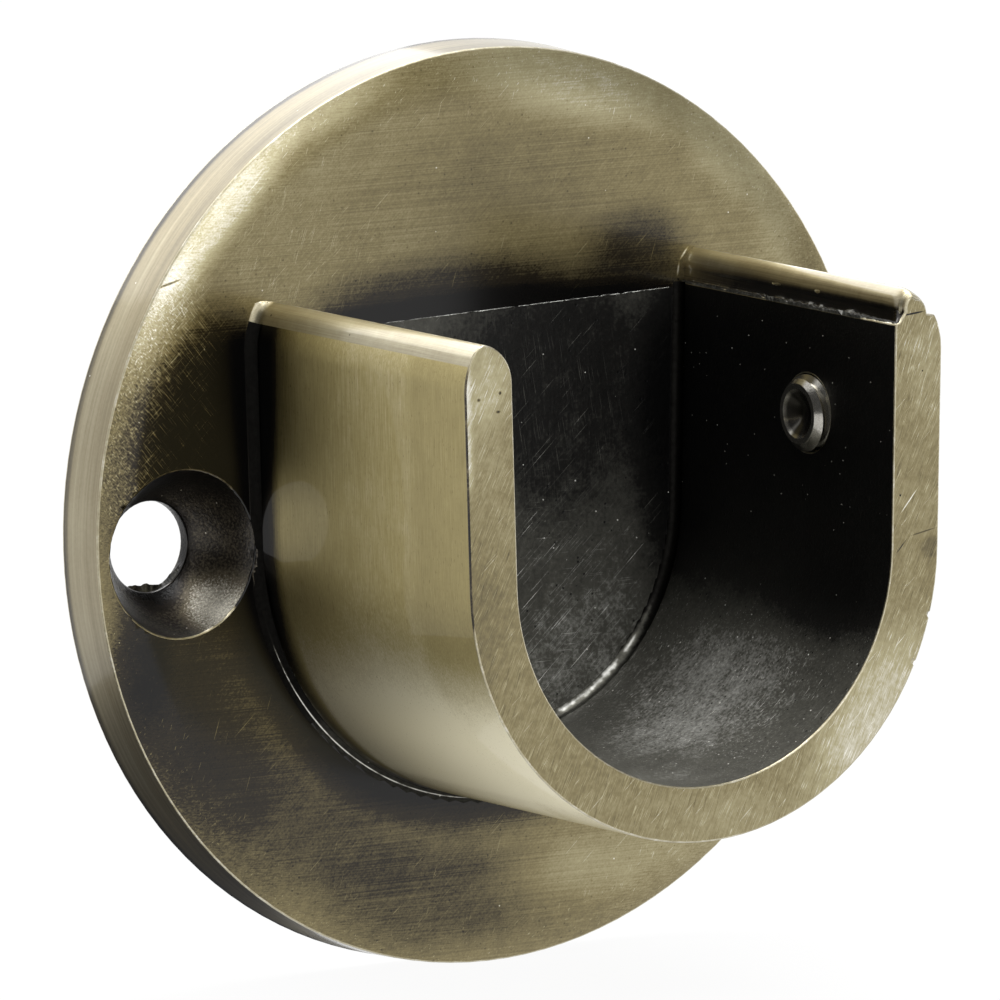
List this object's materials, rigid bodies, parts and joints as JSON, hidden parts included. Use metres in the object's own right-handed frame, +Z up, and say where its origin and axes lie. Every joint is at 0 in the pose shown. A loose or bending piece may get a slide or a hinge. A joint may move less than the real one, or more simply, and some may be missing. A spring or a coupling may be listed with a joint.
{
  "type": "curtain pole bracket",
  "caption": "Round die-cast wall plate with an open U-shaped cup that holds the end of a curtain pole, and a grub screw through the cup's side to clamp it.",
  "frame": {"origin": "centre of the wall plate's back face, on the wall", "axes": "+Y into the wall, the pole leaves along -Y, +X to the right seen from the room, +Z up"},
  "size_m": [0.06, 0.0298, 0.06],
  "materials": {
    "antique_brass": "zinc alloy casting plated in antique brass, relieved by brushing and clear lacquered",
    "steel": "bright turned steel"
  },
  "bodies": {
    "bracket": {"bracket_casting": "antique_brass"},
    "screw": {"grub_screw": "steel"}
  },
  "joints": [
    {"name": "grub_screw_feed", "type": "slide", "parent": "bracket", "child": "screw", "axis": [-1, 0, 0], "range_m": [-0.0015, 0.0021]}
  ]
}
